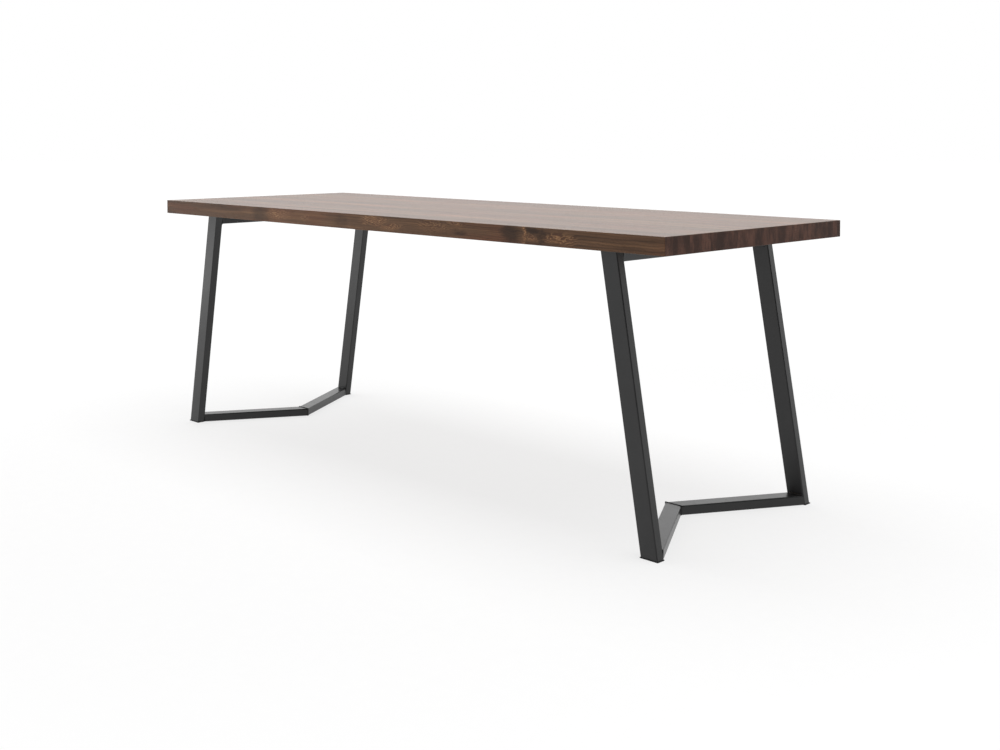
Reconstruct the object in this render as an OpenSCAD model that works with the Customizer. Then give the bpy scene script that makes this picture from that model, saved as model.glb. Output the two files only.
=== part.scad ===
// Butcher block table: a thick top of glued staves on two welded end frames.
// Each end frame has two posts that lean outwards to the floor, a straight rail
// under the top, and a vee of two floor arms whose point faces the table's middle.
// +Z is up, X runs along the table, -Y is the front, and the origin is on the
// floor below the middle of the top. All sizes are in millimetres.

/* [Top] */
// Length of the top
top_l = 2134; // [1500:1:2800]
// Width of the top, front to back
top_w = 762; // [600:1:1000]
// Thickness of the top
top_t = 44; // [34:1:70]
// Chamfer that eases every outer edge of the top
top_ease = 1.2; // [0.5:0.1:3]
// Height of the tabletop above the floor
table_h = 762; // [450:1:1100]

/* [End frames] */
// Gap from the end of the top to the outer face of a foot
foot_inset_x = 55; // [30:1:120]
// Gap from the front of the top to the outer face of a foot
foot_inset_y = 50; // [20:1:80]
// Lean of the posts along the table, from upright
post_lean = 10; // [0:0.5:14]
// How far the point of the floor vee stands in from the feet
vee_depth = 179; // [80:1:240]

/* [Tube] */
// Wide side of the rectangular tube
tube_w = 50; // [40:1:70]
// Narrow side of the tube
tube_d = 25; // [20:1:40]
// Wall of the tube
tube_wall = 2; // [1.5:0.1:4]
// Outside corner radius of the tube
tube_r = 3; // [2:0.1:5]

/* [Joints] */
// Thickness of the foot caps and of the plate in the vee's mitre
joint_t = 2.5; // [2:0.5:6]
// How far a cap or a mitre plate stands proud of the tube it closes
joint_lip = 1.5; // [0.5:0.5:4]
// Leg of the weld fillet under each end of the top rail
rail_weld_leg = 6; // [3:1:10]
// Leg of the weld fillet where a floor arm meets its post
arm_weld_leg = 3; // [2:1:6]

/* [Mounting bars] */
// Thickness of the flat bar between an end frame and the top
bar_t = 5; // [4:0.5:8]
// How far the flat bar reaches past the rail on each side
bar_flange = 25; // [20:1:40]
// Corner radius of the flat bar
bar_r = 6; // [2:1:10]
// Gap from the middle of a post to the end bolts
bolt_from_post = 90; // [50:1:120]
// How far a slot lets an end bolt travel as the top swells
slot_travel = 14; // [4:1:24]

/* [Fasteners] */
// Thread diameter of the bolts
bolt_d = 8; // [6:1:10]
// Length of a bolt below its head
bolt_l = 22; // [18:1:30]
// Width of the hexagon head across its flats
head_af = 13; // [12:1:16]
// Height of the hexagon head
head_h = 5.3; // [4:0.1:7]
// Diameter of a washer
washer_d = 17; // [16:1:20]
// Thickness of a washer
washer_t = 1.6; // [1:0.1:2.5]
// Outside diameter of a threaded insert
insert_d = 12; // [11:0.5:15]
// Length of a threaded insert
insert_l = 18; // [12:1:22]

/* [Hidden] */
$fn = 64;
// Space between a bolt's thread and the insert that holds it
thread_clear = 0.05;
// Space between a bolt and its hole in the flat bar or the washer
bolt_clear = 0.5;
// Depth left free beyond the insert for the bolt's tip
pilot_spare = 6;
// Width of each stave, front to back, in hundredths of the top's width
stave_shares = [4, 8, 11, 14, 10, 8, 14, 12, 14, 5];

wood = [0.40, 0.31, 0.25];
powder_coat = [0.22, 0.22, 0.22];
joint_black = [0.10, 0.10, 0.10];
zinc = [0.72, 0.72, 0.70];
brass = [0.75, 0.62, 0.35];

// Height of an end frame's posts, up to the flat bar
frame_h = table_h - top_t - bar_t;
// Width along X of the leaning post
post_wx = tube_w / cos(post_lean);
// Middle of a foot on the floor
foot_x = top_l / 2 - foot_inset_x - post_wx / 2;
foot_y = top_w / 2 - foot_inset_y - tube_d / 2;
// Inner face of a post, where the rail and the floor arm meet it
post_inner_y = foot_y - tube_d / 2;
// A floor arm runs from the vee's point to the middle of the post's inner face
vee_x = foot_x - vee_depth;
arm_end_x = foot_x - tube_d / 2 * tan(post_lean);
arm_slant = atan2(arm_end_x - vee_x, post_inner_y);
// Wide side of the arm's tube: cut at its slant, it is as wide as the post
arm_w = post_wx * cos(arm_slant);
// Middle of the top rail and of the flat bar
rail_x = foot_x - (frame_h - tube_d / 2) * tan(post_lean);
bar_l = 2 * (foot_y + tube_d / 2);
bar_w = tube_w + 2 * bar_flange;
// Places of the bolts, from the middle of the flat bar
bolt_dx = tube_w / 2 + bar_flange / 2;
bolt_dy = foot_y - bolt_from_post;
share_sum = stave_edge_share(len(stave_shares));

SIDES = ["left", "right"];
ENDS = ["front", "rear"];

// Sum of the first n staves' shares
function stave_edge_share(n) = n == 0 ? 0 : stave_shares[n - 1] + stave_edge_share(n - 1);
// Place across the table of the glue line after the first n staves
function glue_line_y(n) = top_w * (stave_edge_share(n) / share_sum - 0.5);

module rounded_rect(w, h, r) {
    square([w - 2 * r, h], center = true);
    square([w, h - 2 * r], center = true);
    for (x = [-1, 1], y = [-1, 1])
        translate([x * (w / 2 - r), y * (h / 2 - r)]) circle(r);
}

// Cross-section of the rectangular tube, wide side along X
module tube_section(w = tube_w) {
    difference() {
        rounded_rect(w, tube_d, tube_r);
        rounded_rect(w - 2 * tube_wall, tube_d - 2 * tube_wall, max(tube_r - tube_wall, 0.5));
    }
}

// Weld fillet of leg a along X, in the corner between a wall at y = 0 and a face at z = 0
module weld_fillet(a, l) {
    rotate([90, 0, 90])
        linear_extrude(l, center = true)
            polygon([[0, 0], [a, 0], [0, a]]);
}

// Everything is drawn for the right-hand frame's front corner and mirrored into place
module placed(side, end = "front") {
    mirror([side == "left" ? 1 : 0, 0, 0])
        mirror([0, end == "rear" ? 1 : 0, 0])
            children();
}

module at_bolts() {
    for (side = SIDES)
        placed(side)
            for (dx = [-bolt_dx, bolt_dx], dy = [-bolt_dy, 0, bolt_dy])
                translate([rail_x + dx, dy, 0]) children();
}

module eased_rect(w, h) {
    polygon([
        [-w / 2 + top_ease, -h / 2], [w / 2 - top_ease, -h / 2],
        [w / 2, -h / 2 + top_ease], [w / 2, h / 2 - top_ease],
        [w / 2 - top_ease, h / 2], [-w / 2 + top_ease, h / 2],
        [-w / 2, h / 2 - top_ease], [-w / 2, -h / 2 + top_ease]
    ]);
}

// Three crossed prisms give all the outer edges the same small chamfer
module whole_top() {
    intersection() {
        rotate([90, 0, 90]) linear_extrude(top_l, center = true) eased_rect(top_w, top_t);
        rotate([90, 0, 0]) linear_extrude(top_w, center = true) eased_rect(top_l, top_t);
        linear_extrude(top_t, center = true) eased_rect(top_l, top_w);
    }
}

// One full-length stave, numbered from the front, with its share of the insert holes
module top_stave(i) {
    color(wood)
        difference() {
            intersection() {
                translate([0, 0, table_h - top_t / 2]) whole_top();
                translate([-top_l / 2, glue_line_y(i - 1), table_h - top_t])
                    cube([top_l, glue_line_y(i) - glue_line_y(i - 1), top_t]);
            }
            at_bolts()
                translate([0, 0, table_h - top_t - 1]) cylinder(d = insert_d, h = insert_l + pilot_spare + 1);
        }
}

// A post leans along the table; level cuts seat it on its foot cap and under the flat bar
module post() {
    color(powder_coat)
        intersection() {
            translate([foot_x, -foot_y, 0])
                rotate([0, -post_lean, 0])
                    translate([0, 0, -tube_w]) linear_extrude(table_h + 2 * tube_w) tube_section();
            translate([0, -foot_y - tube_d, joint_t]) cube([top_l, 2 * tube_d, frame_h - joint_t]);
        }
}

module foot_cap() {
    color(joint_black)
        translate([foot_x - post_wx / 2 - joint_lip, -foot_y - tube_d / 2 - joint_lip, 0])
            cube([post_wx + 2 * joint_lip, tube_d + joint_lip, joint_t]);
}

// A floor arm lies flat, mitred at the vee plate and cut square to the table at its post
module arm() {
    color(powder_coat)
        intersection() {
            translate([vee_x, 0, tube_d / 2])
                rotate([90, 0, arm_slant])
                    translate([0, 0, -tube_w]) linear_extrude(top_w) tube_section(arm_w);
            translate([0, -post_inner_y, 0])
                cube([top_l, post_inner_y - joint_t / 2, tube_d]);
        }
}

// Weld on top of the arm, along the foot of the post
module arm_weld() {
    color(powder_coat)
        translate([arm_end_x, -post_inner_y, tube_d])
            weld_fillet(arm_weld_leg, post_wx - 4 * tube_r);
}

module vee_plate() {
    color(joint_black)
        translate([vee_x - post_wx / 2 - joint_lip, -joint_t / 2, 0])
            cube([post_wx + 2 * joint_lip, joint_t, tube_d + joint_lip]);
}

module top_rail() {
    color(powder_coat)
        translate([rail_x, 0, frame_h - tube_d / 2])
            rotate([90, 0, 0]) linear_extrude(2 * post_inner_y, center = true) tube_section();
}

// Welds fill the corners under the top rail, against the two posts
module rail_welds() {
    color(powder_coat)
        for (end = ENDS)
            placed("right", end)
                translate([rail_x, -post_inner_y, frame_h - tube_d])
                    mirror([0, 0, 1]) weld_fillet(rail_weld_leg, tube_w - 4 * tube_r);
}

// The flat bar closes the posts and carries round holes in the middle, slots at the ends
module mounting_bar() {
    hole_r = bolt_d / 2 + bolt_clear;
    color(powder_coat)
        translate([rail_x, 0, frame_h])
            linear_extrude(bar_t)
                difference() {
                    rounded_rect(bar_w, bar_l, bar_r);
                    for (dx = [-bolt_dx, bolt_dx]) {
                        translate([dx, 0]) circle(hole_r);
                        for (dy = [-bolt_dy, bolt_dy])
                            translate([dx, dy]) {
                                square([2 * hole_r, slot_travel], center = true);
                                for (s = [-1, 1]) translate([0, s * slot_travel / 2]) circle(hole_r);
                            }
                    }
                }
}

module frame_bolts() {
    color(zinc)
        at_bolts()
            translate([0, 0, frame_h - washer_t]) {
                cylinder(d = bolt_d, h = bolt_l);
                translate([0, 0, -head_h]) cylinder(d = head_af / cos(30), h = head_h, $fn = 6);
            }
}

module bolt_washers() {
    color(zinc)
        at_bolts()
            translate([0, 0, frame_h - washer_t])
                difference() {
                    cylinder(d = washer_d, h = washer_t);
                    translate([0, 0, -1]) cylinder(d = bolt_d + bolt_clear, h = washer_t + 2);
                }
}

module threaded_inserts() {
    color(brass)
        at_bolts()
            translate([0, 0, table_h - top_t])
                difference() {
                    cylinder(d = insert_d, h = insert_l);
                    translate([0, 0, -1]) cylinder(d = bolt_d + 2 * thread_clear, h = insert_l + 2);
                }
}

for (i = [1 : len(stave_shares)])
    top_stave(i);

for (side = SIDES) {
    placed(side) top_rail();
    placed(side) rail_welds();
    placed(side) vee_plate();
    placed(side) mounting_bar();
}

for (side = SIDES, end = ENDS) {
    placed(side, end) post();
    placed(side, end) foot_cap();
    placed(side, end) arm();
    placed(side, end) arm_weld();
}

frame_bolts();
bolt_washers();
threaded_inserts();
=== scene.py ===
import math
import random

import bmesh
import bpy
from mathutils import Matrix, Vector


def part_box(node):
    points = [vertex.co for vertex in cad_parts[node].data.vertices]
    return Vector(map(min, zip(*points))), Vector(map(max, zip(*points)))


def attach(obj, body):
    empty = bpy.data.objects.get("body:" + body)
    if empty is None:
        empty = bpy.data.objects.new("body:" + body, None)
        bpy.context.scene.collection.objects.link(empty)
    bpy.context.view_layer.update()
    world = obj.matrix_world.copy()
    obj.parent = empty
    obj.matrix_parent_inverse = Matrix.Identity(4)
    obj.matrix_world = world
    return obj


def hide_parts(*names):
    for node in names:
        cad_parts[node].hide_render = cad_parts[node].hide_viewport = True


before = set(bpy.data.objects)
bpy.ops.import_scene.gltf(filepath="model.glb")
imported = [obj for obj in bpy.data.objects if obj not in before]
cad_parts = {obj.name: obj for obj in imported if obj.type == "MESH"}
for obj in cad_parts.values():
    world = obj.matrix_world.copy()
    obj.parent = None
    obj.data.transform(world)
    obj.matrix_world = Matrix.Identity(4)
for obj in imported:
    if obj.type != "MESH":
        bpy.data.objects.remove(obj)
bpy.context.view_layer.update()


# ---------------------------------------------------------------------------------------
# Staves of the top
# Solid hardwood, planed square, glued edge to edge at full length and cut straight. The
# outer arrises are sanded round, and blind holes for the inserts bored from below. Stain
# turns it walnut brown, darkest where the end grain drinks it, and the top gets satin.

class Wire:
    """One output in a material. Arithmetic on wires adds Math nodes to that material."""

    def __init__(self, tree, socket=None):
        self.tree = tree
        self.socket = socket

    def make(self, kind, settings=None, inputs=None, output=0):
        """Adds any node: its settings first, then the values or wires of its inputs."""
        node = self.tree.nodes.new("ShaderNode" + kind)
        for name, value in (settings or {}).items():
            setattr(node, name, value)
        for name, value in (inputs or {}).items():
            if isinstance(value, Wire):
                self.tree.links.new(value.socket, node.inputs[name])
            else:
                node.inputs[name].default_value = value
        return Wire(self.tree, node.outputs[output] if node.outputs else None)

    def maths(self, operation, first, second=0.0):
        return self.make("Math", {"operation": operation}, {0: first, 1: second})

    def __add__(self, other):
        return self.maths("ADD", self, other)

    __radd__ = __add__

    def __sub__(self, other):
        return self.maths("SUBTRACT", self, other)

    def __rsub__(self, other):
        return self.maths("SUBTRACT", other, self)

    def __mul__(self, other):
        return self.maths("MULTIPLY", self, other)

    __rmul__ = __mul__

    def __truediv__(self, other):
        return self.maths("DIVIDE", self, other)

    def __pow__(self, other):
        return self.maths("POWER", self, other)

    def ease(self, low, high, to_low=0.0, to_high=1.0):
        """Runs smoothly from to_low to to_high as this wire goes from low to high."""
        inputs = {"Value": self, "From Min": low, "From Max": high, "To Min": to_low, "To Max": to_high}
        return self.make("MapRange", {"interpolation_type": "SMOOTHSTEP"}, inputs)

    def size(self):
        """The number with its sign dropped."""
        return self.maths("ABSOLUTE", self)

    def part(self, axis):
        """One of the three numbers of a place or a direction."""
        return self.make("SeparateXYZ", {}, {0: self}, "XYZ".index(axis))

    def vector(self, operation, other):
        return self.make("VectorMath", {"operation": operation}, {0: self, 1: other})

    def length(self):
        return self.make("VectorMath", {"operation": "LENGTH"}, {0: self}, output=1)

    def along(self, direction):
        """How far a direction points along another, from -1 to 1."""
        return self.make("VectorMath", {"operation": "DOT_PRODUCT"}, {0: self, 1: direction}, output=1)

    def tint(self, other, share, way="MIX"):
        """Lays a share of another colour over this one."""
        settings = {"data_type": "RGBA", "blend_type": way}
        if not isinstance(other, Wire):
            other = (*other, 1)
        return self.make("Mix", settings, {0: share, 6: self, 7: other}, output=2)

    def clouds(self, scale, shift=(0.0, 0.0, 0.0), detail=2.0, roughness=0.5, output=0):
        """Soft noise; scale is in lumps per metre along each axis."""
        spread = self.vector("MULTIPLY", scale).vector("ADD", shift)
        inputs = {"Vector": spread, "Scale": 1.0, "Detail": detail, "Roughness": roughness}
        return self.make("TexNoise", {}, inputs, output)


def finish(name, look):
    """Makes a material; look(start) returns the sockets of its surface shader."""
    material = bpy.data.materials.new(name)
    material.use_nodes = True
    tree = material.node_tree
    tree.nodes.clear()
    start = Wire(tree)
    surface = start.make("BsdfPrincipled", {}, look(start))
    start.make("OutputMaterial", {}, {"Surface": surface})
    return material


STAIN_DEEP = (0.026, 0.013, 0.008)
STAIN_BROWN = (0.140, 0.072, 0.037)
STAIN_TAN = (0.405, 0.213, 0.098)
STAIN_RED = (0.165, 0.062, 0.032)
END_DARK = (0.041, 0.018, 0.012)
END_ROSE = (0.150, 0.068, 0.046)
RING = 0.0052
SWELL = 0.009
CURL_REACH = (0.050, 0.026, 0.026)
FIGURE_RIM = 1.15
FIGURE_HEART = 0.35
DRIFT_REACH = 0.060
SWAY_REACH = 0.024
RIPPLE_REACH = 0.0045
FIGURE_REACH = 0.034
GLUE_OUTER = 0.0007
GLUE_INNER = 0.0002
BARE_SHINE = 0.16
SATIN = 0.21
SATIN_ROUGHNESS = 0.26


def stave_wood(number, middle, half_width, pith, depth, figures):
    """Wood of one stave: yearly rings round a pith, thrown about where a branch grew."""

    def look(start):
        place = start.make("TexCoord", output=3)
        shift = (number * 7.3, number * 3.1, number * 5.7)

        # the grain is carried aside by slow drift, and curls inside each figure
        curl = place.clouds((22.0, 60.0, 60.0), shift, 3.0, 0.6, output=1)
        curl = curl.vector("SUBTRACT", (0.5, 0.5, 0.5))
        loose = place.vector("ADD", curl.vector("MULTIPLY", CURL_REACH))
        hold = None
        tan_share = None
        dark_share = None
        lean = 0.0
        for centre, reach, slope, tan, dark in figures:
            apart = loose.vector("SUBTRACT", centre).vector("DIVIDE", reach).length()
            inside = apart.ease(FIGURE_RIM, FIGURE_HEART)
            if tan:
                lean = inside * ((place.part("X") - centre[0]) * slope + SWELL) + lean
            if hold is None:
                hold = inside
                tan_share = inside * tan
                dark_share = inside * dark
            else:
                hold = start.maths("MAXIMUM", hold, inside)
                tan_share = start.maths("MAXIMUM", tan_share, inside * tan)
                dark_share = start.maths("MAXIMUM", dark_share, inside * dark)

        drift = place.clouds((0.9, 4.0, 4.0), shift)
        sway = place.clouds((3.2, 20.0, 20.0), shift)
        ripple = place.clouds((11.0, 48.0, 48.0), shift)
        offset = place.vector("SUBTRACT", (0, middle[0] + pith[0], middle[1] + pith[1]))
        across = offset.part("Y") + (drift - 0.5) * DRIFT_REACH
        upward = offset.part("Z") + (sway - 0.5) * SWAY_REACH
        radius = (across * across + upward * upward) ** 0.5 + (ripple - 0.5) * RIPPLE_REACH
        if hold is not None:
            radius = radius + curl.part("Y") * hold * FIGURE_REACH + lean
        ring = start.maths("FRACT", radius / RING)
        late = ring.ease(0.30, 0.93) * ring.ease(1.0, 0.95)
        early = ring.ease(0.0, 0.12) * ring.ease(0.55, 0.20)

        bold = place.clouds((0.8, 30.0, 30.0), shift).ease(0.35, 0.70, 0.25, 1.0)
        fibre = place.clouds((9.0, 430.0, 430.0), shift, 3.0, 0.6)
        streak = place.clouds((2.0, 75.0, 75.0), shift, 3.0, 0.55)
        pores = place.clouds((60.0, 1500.0, 1500.0), shift, 1.0).ease(0.64, 0.74)
        patch = place.clouds((4.0, 17.0, 17.0), shift)
        smoke = place.clouds((3.0, 24.0, 24.0), (shift[1], shift[2], shift[0]))

        wood = start.make("RGB")
        wood.socket.default_value = (*STAIN_BROWN, 1)
        wood = wood.tint(STAIN_RED, patch.ease(0.44, 0.66) * 0.60)
        wood = wood.tint(STAIN_TAN, streak.ease(0.50, 0.78) * 0.35)
        wood = wood.tint(STAIN_DEEP, streak.ease(0.50, 0.26) * 0.50)
        wood = wood.tint(STAIN_DEEP, smoke.ease(0.42, 0.24) * 0.40)
        wood = wood.tint(STAIN_DEEP, late * bold * 0.50)
        wood = wood.tint(STAIN_TAN, fibre.ease(0.55, 0.80) * 0.16)
        if hold is not None:
            wood = wood.tint(STAIN_DEEP, dark_share)
            wood = wood.tint(STAIN_TAN, early * tan_share)
            wood = wood.tint(STAIN_RED, late * tan_share * 0.5)
        wood = wood.tint(STAIN_DEEP, pores * 0.50)

        # the sawn ends: open grain full of stain, in upright bands
        facing = start.make("TexCoord", output=1)
        sawn = facing.part("X").size().ease(0.60, 0.90)
        band = place.clouds((1.0, 34.0, 13.0), shift, 4.0, 0.65)
        grit = place.clouds((1.0, 260.0, 90.0), shift, 2.0, 0.7)
        end_wood = start.make("RGB")
        end_wood.socket.default_value = (*END_DARK, 1)
        end_wood = end_wood.tint(END_ROSE, band.ease(0.36, 0.70) * 0.72)
        end_wood = end_wood.tint(STAIN_TAN, grit.ease(0.60, 0.80) * 0.12)
        end_wood = end_wood.tint(STAIN_DEEP, late * 0.35)
        wood = wood.tint(end_wood, sawn)

        # a hair of dark glue shows where two staves meet
        from_middle = (place.part("Y") - middle[0]).size()
        glue_line = from_middle.ease(half_width - GLUE_OUTER, half_width - GLUE_INNER)
        sideways = facing.part("Y").size().ease(0.30, 0.70)
        wood = wood.tint(STAIN_DEEP, glue_line * (1 - sideways) * 0.60)
        wood = wood.tint((depth, depth, depth), 1.0, "MULTIPLY")

        relief = fibre * 0.5 + late * 0.35 - pores * 0.9
        bump = start.make("Bump", {}, {"Strength": 0.35, "Distance": 0.0004, "Height": relief})
        rough = 0.40 + (fibre - 0.5) * 0.10 + pores * 0.12 + sawn * 0.22
        satin = facing.part("Z").ease(0.50, 0.90) * SATIN
        return {
            "Base Color": wood,
            "Roughness": rough,
            "Normal": bump,
            "Specular IOR Level": BARE_SHINE,
            "Coat Weight": satin,
            "Coat Roughness": SATIN_ROUGHNESS,
        }

    return finish(f"stained_wood_{number}", look)


ARRIS = 0.0012
ARRIS_STEPS = 3
INSERT_RADIUS = 0.006
PILOT_DEPTH = 0.024
PILOT_SIDES = 40
TOUCHING = 1e-5

top_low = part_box("top_stave_1")[0]
top_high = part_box("top_stave_10")[1]
insert_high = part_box("threaded_inserts")[1]
bar_low, bar_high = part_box("right_mounting_bar")
bar_x = (bar_low[0] + bar_high[0]) / 2
bolt_dx = insert_high[0] - INSERT_RADIUS - bar_x
bolt_dy = insert_high[1] - INSERT_RADIUS
BOLTS = [
    (side * (bar_x + dx), dy)
    for side in (-1, 1)
    for dx in (-bolt_dx, bolt_dx)
    for dy in (-bolt_dy, 0.0, bolt_dy)
]


def mesh_piece(name, shape, material):
    """Puts finished mesh code into the scene as one piece of the table."""
    mesh = bpy.data.meshes.new(name)
    bmesh.ops.recalc_face_normals(shape, faces=shape.faces)
    shape.to_mesh(mesh)
    shape.free()
    mesh.materials.append(material)
    piece = bpy.data.objects.new(name, mesh)
    bpy.context.scene.collection.objects.link(piece)
    return piece


def stave_block(low, high):
    """A stave between two corners, with the arrises that stay outside the slab rounded."""
    shape = bmesh.new()
    bmesh.ops.create_cube(shape, size=1.0)
    for vert in shape.verts:
        vert.co = Vector(high[i] if vert.co[i] > 0 else low[i] for i in range(3))
    outside = []
    for edge in shape.edges:
        middle = (edge.verts[0].co + edge.verts[1].co) / 2
        rims = [min(middle[i] - top_low[i], top_high[i] - middle[i]) < TOUCHING for i in range(3)]
        if sum(rims) == 2:
            outside.append(edge)
    bmesh.ops.bevel(
        shape, geom=outside, offset=ARRIS, segments=ARRIS_STEPS, profile=0.5, affect="EDGES")
    return shape


def pilot_holes(stave):
    """Bores the blind holes for the inserts that fall in this stave."""
    low, high = stave.bound_box[0], stave.bound_box[6]
    drills = bmesh.new()
    for x, y in BOLTS:
        if not low[1] < y < high[1]:
            continue
        made = bmesh.ops.create_cone(
            drills, cap_ends=True, segments=PILOT_SIDES, radius1=INSERT_RADIUS,
            radius2=INSERT_RADIUS, depth=2 * PILOT_DEPTH)
        bmesh.ops.translate(drills, verts=made["verts"], vec=(x, y, low[2]))
    if not drills.verts:
        drills.free()
        return
    drill = mesh_piece("drill", drills, stave.data.materials[0])
    bore = stave.modifiers.new("pilot_holes", "BOOLEAN")
    bore.operation = "DIFFERENCE"
    bore.solver = "EXACT"
    bore.object = drill
    bpy.context.view_layer.update()
    ready = stave.evaluated_get(bpy.context.evaluated_depsgraph_get())
    bored = bpy.data.meshes.new_from_object(ready)
    stave.modifiers.clear()
    stave.data = bored
    bpy.data.objects.remove(drill)


# each stave: where its pith lies from its middle (across, up), how light its stain came
# out, and its figures: centre, reach along each axis, fall of the grain, tan and dark
STAVES = {
    1: ((0.030, -0.105), 1.00, [
        ((-0.510, -0.381, 0.738), (0.050, 0.030, 0.040), 0, 0.0, 0.45),
        ((-0.412, -0.381, 0.742), (0.062, 0.020, 0.021), 0.15, 0.85, 0.0),
        ((-0.278, -0.381, 0.741), (0.020, 0.012, 0.010), 0, 0.60, 0.0),
        ((-0.105, -0.381, 0.735), (0.036, 0.030, 0.032), 0, 0.0, 0.30),
        ((0.044, -0.381, 0.746), (0.064, 0.020, 0.015), 0.22, 0.95, 0.0),
        ((0.116, -0.381, 0.733), (0.060, 0.020, 0.011), 0.22, 0.95, 0.0),
        ((0.295, -0.381, 0.744), (0.080, 0.020, 0.018), 0.10, 0.40, 0.0),
        ((0.385, -0.381, 0.753), (0.036, 0.015, 0.010), 0.12, 0.55, 0.0),
        ((0.400, -0.381, 0.734), (0.030, 0.015, 0.008), 0, 0.0, 0.50),
        ((0.582, -0.381, 0.742), (0.038, 0.030, 0.034), 0, 0.0, 0.70),
        ((0.632, -0.381, 0.742), (0.010, 0.015, 0.034), 0, 1.00, 0.0),
        ((0.655, -0.381, 0.734), (0.020, 0.015, 0.010), 0, 0.90, 0.0),
        ((0.660, -0.381, 0.752), (0.028, 0.020, 0.012), 0, 0.0, 0.75),
        ((0.690, -0.381, 0.740), (0.018, 0.020, 0.030), 0, 0.0, 0.55),
        ((0.750, -0.381, 0.736), (0.062, 0.020, 0.020), 0, 0.70, 0.0),
    ]),
    2: ((-0.050, 0.060), 0.92, []),
    3: ((0.030, -0.070), 1.10, [
        ((0.310, -0.250, 0.762), (0.075, 0.017, 0.030), 0, 0.30, 0.10),
        ((0.308, -0.250, 0.762), (0.013, 0.006, 0.030), 0, 0.0, 0.80),
    ]),
    4: ((-0.020, -0.090), 0.90, [
        ((-0.580, -0.160, 0.762), (0.095, 0.022, 0.040), 0, 0.30, 0.15),
        ((-0.582, -0.160, 0.762), (0.017, 0.008, 0.040), 0, 0.0, 0.85),
    ]),
    5: ((0.060, 0.045), 1.16, []),
    6: ((-0.015, -0.085), 0.85, [
        ((0.720, 0.008, 0.762), (0.065, 0.014, 0.030), 0, 0.25, 0.15),
        ((0.722, 0.008, 0.762), (0.010, 0.005, 0.030), 0, 0.0, 0.75),
    ]),
    7: ((0.025, -0.075), 1.02, []),
    8: ((-0.045, 0.080), 1.12, [
        ((-0.160, 0.190, 0.762), (0.085, 0.018, 0.030), 0, 0.30, 0.10),
        ((-0.162, 0.190, 0.762), (0.014, 0.007, 0.030), 0, 0.0, 0.80),
    ]),
    9: ((0.030, -0.095), 0.88, [
        ((0.470, 0.292, 0.762), (0.070, 0.016, 0.030), 0, 0.25, 0.15),
        ((0.468, 0.292, 0.762), (0.011, 0.006, 0.030), 0, 0.0, 0.75),
    ]),
    10: ((-0.045, -0.060), 1.00, [
        ((-0.350, 0.381, 0.742), (0.055, 0.020, 0.018), 0.15, 0.45, 0.0),
        ((-0.290, 0.381, 0.742), (0.045, 0.020, 0.026), 0, 0.0, 0.35),
        ((0.520, 0.381, 0.735), (0.060, 0.020, 0.016), 0.15, 0.40, 0.0),
    ]),
}
for number, (pith, depth, figures) in STAVES.items():
    node = f"top_stave_{number}"
    low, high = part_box(node)
    middle = ((low[1] + high[1]) / 2, (low[2] + high[2]) / 2)
    wood = stave_wood(number, middle, (high[1] - low[1]) / 2, pith, depth, figures)
    stave = mesh_piece(f"stave_{number}", stave_block(low, high), wood)
    pilot_holes(stave)
    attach(stave, "root")
    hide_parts(node)


# ---------------------------------------------------------------------------------------
# Posts, floor arms, top rails and mounting bars of the end frames
# Rectangular steel tube, 50 by 25 mm, sawn to its angles and welded up as a trapezoid
# with a vee on the floor, and a flat bar welded on top to carry the slab. Satin black
# powder is sprayed on and baked, which leaves a faint orange peel.

POWDER_BLACK = (0.0090, 0.0090, 0.0095)
POWDER_WORN = (0.0170, 0.0170, 0.0175)
SCUFF_GREY = (0.110, 0.106, 0.100)
SCUFF_TOP = 0.11
POWDER_ROUGHNESS = 0.31


def powder_coat(start):
    place = start.make("TexCoord", output=3)
    peel = place.clouds((620.0, 620.0, 620.0))
    drift = place.clouds((7.0, 7.0, 7.0), (0, 0, 0), 3.0)
    fleck = place.clouds((1900.0, 1900.0, 1900.0), (0, 0, 0), 1.0).ease(0.66, 0.74)
    low_down = place.part("Z").ease(SCUFF_TOP, 0.01)
    scuffs = place.clouds((60.0, 60.0, 420.0), (0, 0, 0), 4.0, 0.7).ease(0.60, 0.74) * low_down
    coat = start.make("RGB")
    coat.socket.default_value = (*POWDER_BLACK, 1)
    coat = coat.tint(POWDER_WORN, drift.ease(0.35, 0.70) * 0.7)
    coat = coat.tint(SCUFF_GREY, fleck * 0.10 + scuffs * 0.30)
    bump = start.make("Bump", {}, {"Strength": 0.30, "Distance": 0.00035, "Height": peel})
    rough = POWDER_ROUGHNESS + (drift - 0.5) * 0.10 + scuffs * 0.15
    return {"Base Color": coat, "Roughness": rough, "Normal": bump, "Specular IOR Level": 0.45}


steel_coat = finish("black_powder_coat", powder_coat)
for name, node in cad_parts.items():
    if name.endswith(("_post", "_arm", "_top_rail", "_mounting_bar")):
        node.material_slots[0].material = steel_coat


# ---------------------------------------------------------------------------------------
# Welds
# Short fillet beads: one on each floor arm where it meets its post, and one in each
# corner under the top rail. Laid in overlapping crescents, and coated with the frame.

BEAD_PITCH = 0.0023
BEAD_STEPS = 8
BEAD_ARC = 7
BEAD_END_RUN = 0.004
BEAD_END_SIZE = 0.55
BEAD_LEAN = 0.35
BEAD_WOBBLE = 0.02
BEAD_SEED = 11


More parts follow.
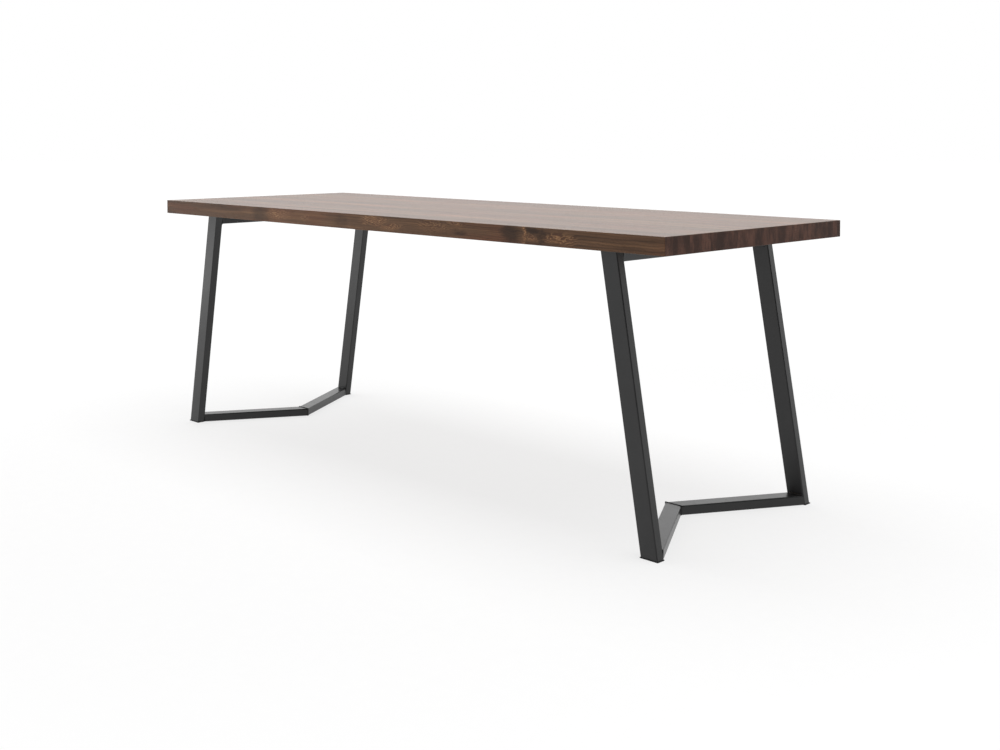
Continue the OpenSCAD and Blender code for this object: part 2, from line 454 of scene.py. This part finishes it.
def weld_bead(shape, start_x, end_x, wall_y, out_y, root_z, out_z, leg, luck):
    """Lays a bead along X between the wall at wall_y and the face at root_z."""
    count = max(4, round((end_x - start_x) / BEAD_PITCH * BEAD_STEPS))
    rings = []
    for step in range(count + 1):
        along = step / count
        x = start_x + (end_x - start_x) * along
        from_end = min(along, 1 - along) * (end_x - start_x) / BEAD_END_RUN
        taper = min(1.0, BEAD_END_SIZE + (1 - BEAD_END_SIZE) * from_end)
        swell = 1.0 + luck.uniform(-BEAD_WOBBLE, BEAD_WOBBLE)
        ring = [shape.verts.new((x, wall_y, root_z))]
        for turn in range(BEAD_ARC + 1):
            angle = math.pi / 2 * turn / BEAD_ARC
            crescent = (x - start_x) / BEAD_PITCH + BEAD_LEAN * math.sin(2 * angle)
            scallop = math.sqrt(1 - (2 * (crescent % 1.0) - 1) ** 2)
            round_out = 0.80 + 0.12 * abs(math.cos(2 * angle))
            reach = leg * taper * swell * (round_out + 0.08 * scallop)
            y = wall_y + out_y * reach * math.cos(angle)
            z = root_z + out_z * reach * math.sin(angle)
            ring.append(shape.verts.new((x, y, z)))
        rings.append(ring)
    size = len(rings[0])
    for before, after in zip(rings, rings[1:]):
        for i in range(size):
            j = (i + 1) % size
            shape.faces.new((before[i], before[j], after[j], after[i]))
    shape.faces.new(rings[0])
    shape.faces.new(reversed(rings[-1]))


def bead_piece(name, beads, node):
    """Puts finished beads in place of the plain fillets of one node."""
    bead = mesh_piece(name, beads, steel_coat)
    for face in bead.data.polygons:
        face.use_smooth = len(face.vertices) == 4
    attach(bead, "root")
    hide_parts(node)


luck = random.Random(BEAD_SEED)
for side in ("left", "right"):
    for end, out_y in (("front", 1), ("rear", -1)):
        node = f"{side}_{end}_arm_weld"
        low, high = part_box(node)
        wall_y = low[1] if out_y > 0 else high[1]
        beads = bmesh.new()
        weld_bead(beads, low[0], high[0], wall_y, out_y, low[2], 1, high[2] - low[2], luck)
        bead_piece(f"{side}_{end}_arm_bead", beads, node)

    node = f"{side}_rail_welds"
    low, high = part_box(node)
    beads = bmesh.new()
    for wall_y, out_y in ((low[1], 1), (high[1], -1)):
        weld_bead(beads, low[0], high[0], wall_y, out_y, high[2], -1, high[2] - low[2], luck)
    bead_piece(f"{side}_rail_beads", beads, node)


# ---------------------------------------------------------------------------------------
# Foot caps and vee plates
# Thin plate, sheared a little larger than the tube and welded on: a cap closes the foot
# of each post, and an upright plate stands in the mitre of the vee. Corners are filed.

PLATE_BLACK = (0.0080, 0.0080, 0.0085)
PLATE_DUST = (0.050, 0.048, 0.045)
FILED_CORNER = 0.0016
FILED_EDGE = 0.0004
SHARP_ANGLE = math.radians(60)
PLATE_ROUGHNESS = 0.55


def plate_coat(start):
    place = start.make("TexCoord", output=3)
    cut_lines = place.clouds((900.0, 900.0, 90.0))
    dust = place.clouds((150.0, 150.0, 150.0), (0, 0, 0), 3.0).ease(0.55, 0.80)
    coat = start.make("RGB")
    coat.socket.default_value = (*PLATE_BLACK, 1)
    coat = coat.tint(PLATE_DUST, dust * 0.4)
    bump = start.make("Bump", {}, {"Strength": 0.4, "Distance": 0.0003, "Height": cut_lines})
    rough = PLATE_ROUGHNESS + dust * 0.15
    return {"Base Color": coat, "Roughness": rough, "Normal": bump, "Specular IOR Level": 0.35}


def plate_block(low, high, thin_axis):
    """A sheared plate: its corners filed round, then all its sharp edges broken."""
    shape = bmesh.new()
    bmesh.ops.create_cube(shape, size=1.0)
    for vert in shape.verts:
        vert.co = Vector(high[i] if vert.co[i] > 0 else low[i] for i in range(3))
    corners = []
    for edge in shape.edges:
        run = edge.verts[1].co - edge.verts[0].co
        if abs(run[thin_axis]) > FILED_EDGE:
            corners.append(edge)
    bmesh.ops.bevel(shape, geom=corners, offset=FILED_CORNER, segments=4, profile=0.5, affect="EDGES")
    sharp = [edge for edge in shape.edges if edge.calc_face_angle() > SHARP_ANGLE]
    bmesh.ops.bevel(shape, geom=sharp, offset=FILED_EDGE, segments=2, profile=0.5, affect="EDGES")
    return shape


joint_coat = finish("black_joint_plate", plate_coat)
for side in ("left", "right"):
    for node, thin_axis in (
        (f"{side}_front_foot_cap", 2),
        (f"{side}_rear_foot_cap", 2),
        (f"{side}_vee_plate", 1),
    ):
        low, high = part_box(node)
        plate = mesh_piece(node + "_filed", plate_block(low, high, thin_axis), joint_coat)
        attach(plate, "root")
        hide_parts(node)


# ---------------------------------------------------------------------------------------
# Bolts and washers
# Zinc-plated hexagon bolts with plain washers. They come up through the mounting bars
# from below: two rows of three to each frame, the end ones in slots.

BOLT_RADIUS = 0.004
TIP_SHARE = 0.75
HEAD_FLATS = 0.013
HEAD_FACE_SHARE = 0.95
HEAD_CHAMFER = math.radians(30)
HEAD_SIDES = 48
THREAD_PITCH = 0.00125
THREAD_DEPTH = 0.0004
ZINC_BRIGHT = (0.62, 0.62, 0.60)
ZINC_BLOOM = (0.40, 0.41, 0.42)


def zinc_plate(start):
    place = start.make("TexCoord", output=3)
    bloom = place.clouds((140.0, 140.0, 140.0), (0, 0, 0), 3.0)
    zinc = start.make("RGB")
    zinc.socket.default_value = (*ZINC_BRIGHT, 1)
    zinc = zinc.tint(ZINC_BLOOM, bloom.ease(0.4, 0.7) * 0.5)
    rough = 0.30 + bloom * 0.2
    bump = start.make("Bump", {}, {"Strength": 0.2, "Distance": 0.0001, "Height": bloom})
    return {"Base Color": zinc, "Metallic": 1.0, "Roughness": rough, "Normal": bump}


def hexagon_bolt(shape, x, y, head_low, head_top, tip_z):
    """Head down: a chamfered hexagon, then the shank with its thread up to the tip.

    A level of None stands for the chamfer: each point's height follows from its radius.
    """
    face_radius = HEAD_FLATS / 2 * HEAD_FACE_SHARE
    profile = []
    flats = []
    for turn in range(HEAD_SIDES):
        angle = 2 * math.pi * turn / HEAD_SIDES
        flats.append(HEAD_FLATS / 2 / math.cos((angle + math.pi / 6) % (math.pi / 3) - math.pi / 6))
    profile.append((head_low, [face_radius] * HEAD_SIDES))
    profile.append((None, flats))
    profile.append((head_top, flats))
    z = head_top
    while z < tip_z - 2 * THREAD_PITCH:
        profile.append((z, [BOLT_RADIUS - THREAD_DEPTH] * HEAD_SIDES))
        profile.append((z + THREAD_PITCH / 2, [BOLT_RADIUS] * HEAD_SIDES))
        z += THREAD_PITCH
    profile.append((z, [BOLT_RADIUS - THREAD_DEPTH] * HEAD_SIDES))
    profile.append((tip_z, [BOLT_RADIUS * TIP_SHARE] * HEAD_SIDES))
    rings = []
    for level, radii in profile:
        ring = []
        for turn, radius in enumerate(radii):
            angle = 2 * math.pi * turn / HEAD_SIDES
            z = level
            if z is None:
                z = head_low + (radius - face_radius) * math.tan(HEAD_CHAMFER)
            place = (x + radius * math.cos(angle), y + radius * math.sin(angle), z)
            ring.append(shape.verts.new(place))
        rings.append(ring)
    for below, above in zip(rings, rings[1:]):
        for i in range(HEAD_SIDES):
            j = (i + 1) % HEAD_SIDES
            shape.faces.new((below[i], below[j], above[j], above[i]))
    shape.faces.new(reversed(rings[0]))
    shape.faces.new(rings[-1])


zinc_finish = finish("zinc_fastener", zinc_plate)
bolt_low, bolt_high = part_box("frame_bolts")
washer_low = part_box("bolt_washers")[0]
bolt_shapes = bmesh.new()
for x, y in BOLTS:
    hexagon_bolt(bolt_shapes, x, y, bolt_low[2], washer_low[2], bolt_high[2])
bolts = mesh_piece("hexagon_bolts", bolt_shapes, zinc_finish)
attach(bolts, "root")
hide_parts("frame_bolts")
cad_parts["bolt_washers"].material_slots[0].material = zinc_finish


# ---------------------------------------------------------------------------------------
# Threaded inserts
# Turned brass, screwed into the blind holes in the underside of the slab. The bolts
# pull up into them.

BRASS = (0.72, 0.52, 0.24)
BRASS_TARNISH = (0.36, 0.24, 0.11)


def turned_brass(start):
    place = start.make("TexCoord", output=3)
    tarnish = place.clouds((180.0, 180.0, 180.0), (0, 0, 0), 3.0)
    brass = start.make("RGB")
    brass.socket.default_value = (*BRASS, 1)
    brass = brass.tint(BRASS_TARNISH, tarnish.ease(0.45, 0.75) * 0.6)
    rough = 0.34 + tarnish * 0.2
    bump = start.make("Bump", {}, {"Strength": 0.2, "Distance": 0.0001, "Height": tarnish})
    return {"Base Color": brass, "Metallic": 1.0, "Roughness": rough, "Normal": bump}


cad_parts["threaded_inserts"].material_slots[0].material = finish("brass_insert", turned_brass)


# ---------------------------------------------------------------------------------------
# Studio
# A plain pale floor, clear when seen from below, that fades into a white surround. The
# surround is bright behind the table and dim on the side where the camera stands. A wide
# soft light hangs overhead and a small one stands low at the left.

FLOOR_RADIUS = 40.0
FLOOR_NEAR = 1.2
FLOOR_FAR = 3.2
FLOOR_GLOW = 1.06
DIM_SIDE = (0.743, -0.669, 0.0)
WORLD_BRIGHT = 1.30
WORLD_DIM = 0.06

floor_shape = bmesh.new()
bmesh.ops.create_circle(floor_shape, cap_ends=True, radius=FLOOR_RADIUS, segments=96)
floor_mesh = bpy.data.meshes.new("studio_floor")
floor_shape.to_mesh(floor_mesh)
floor_shape.free()
floor = bpy.data.objects.new("studio_floor", floor_mesh)
bpy.context.scene.collection.objects.link(floor)

floor_paint = bpy.data.materials.new("studio_floor")
floor_paint.use_nodes = True
floor_paint.node_tree.nodes.clear()
start = Wire(floor_paint.node_tree)
place = start.make("TexCoord", output=3)
from_table = place.length()
shade = place.clouds((30.0, 30.0, 30.0), (0, 0, 0), 3.0).ease(0.0, 1.0, 0.80, 0.84)
tone = start.make("CombineColor", {}, {0: shade, 1: shade, 2: shade})
matte = start.make("BsdfDiffuse", {}, {"Color": tone})
glow = start.make("Emission", {}, {"Color": (1, 1, 1, 1), "Strength": FLOOR_GLOW})
glow_share = from_table.ease(FLOOR_NEAR, FLOOR_FAR, 0.70, 1.0)
lit = start.make("MixShader", {}, {0: glow_share, 1: matte, 2: glow})
from_below = start.make("NewGeometry", output=6)
see_through = start.make("BsdfTransparent")
either = start.make("MixShader", {}, {0: from_below, 1: lit, 2: see_through})
start.make("OutputMaterial", {}, {"Surface": either})
floor.data.materials.append(floor_paint)

world = bpy.data.worlds.new("studio")
world.use_nodes = True
world.node_tree.nodes.clear()
start = Wire(world.node_tree)
skyward = start.make("TexCoord", output=0)
overhead = skyward.part("Z").ease(0.25, 0.90, 1.0, 0.50)
level = skyward.along(DIM_SIDE).ease(-0.30, 0.60, WORLD_BRIGHT, WORLD_DIM) * overhead
seen = start.make("LightPath", output=0)
strength = seen + (1 - seen) * level
backdrop = start.make("Background", {}, {"Color": (1, 1, 1, 1), "Strength": strength})
start.make("OutputWorld", {}, {"Surface": backdrop})
bpy.context.scene.world = world


def soft_light(name, place, aim, size, power):
    """A rectangular lamp: where it stands, where it points, its sides and its watts."""
    lamp = bpy.data.lights.new(name, "AREA")
    lamp.shape = "RECTANGLE"
    lamp.size, lamp.size_y = size
    lamp.energy = power
    light = bpy.data.objects.new(name, lamp)
    light.location = place
    direction = Vector(aim) - Vector(place)
    light.rotation_euler = direction.to_track_quat("-Z", "Y").to_euler()
    bpy.context.scene.collection.objects.link(light)


soft_light("overhead_softbox", (0.0, 0.1, 3.4), (0.0, 0.1, 0.0), (7.0, 2.0), 120.0)
soft_light("low_left_softbox", (-3.5, -1.9, 0.22), (-0.9, 0.0, 0.22), (1.6, 0.4), 2.8)

camera_data = bpy.data.cameras.new("camera")
camera_data.lens = 45.078
camera_data.sensor_width = 36.0
camera_data.shift_x = 0.0069
camera_data.shift_y = -0.2
camera = bpy.data.objects.new("camera", camera_data)
camera.location = (2.7732, -2.6183, 0.9963)
camera.rotation_euler = (math.radians(88.03), 0, math.radians(45.165))
bpy.context.scene.collection.objects.link(camera)
bpy.context.scene.camera = camera
bpy.context.scene.view_settings.view_transform = "Standard"
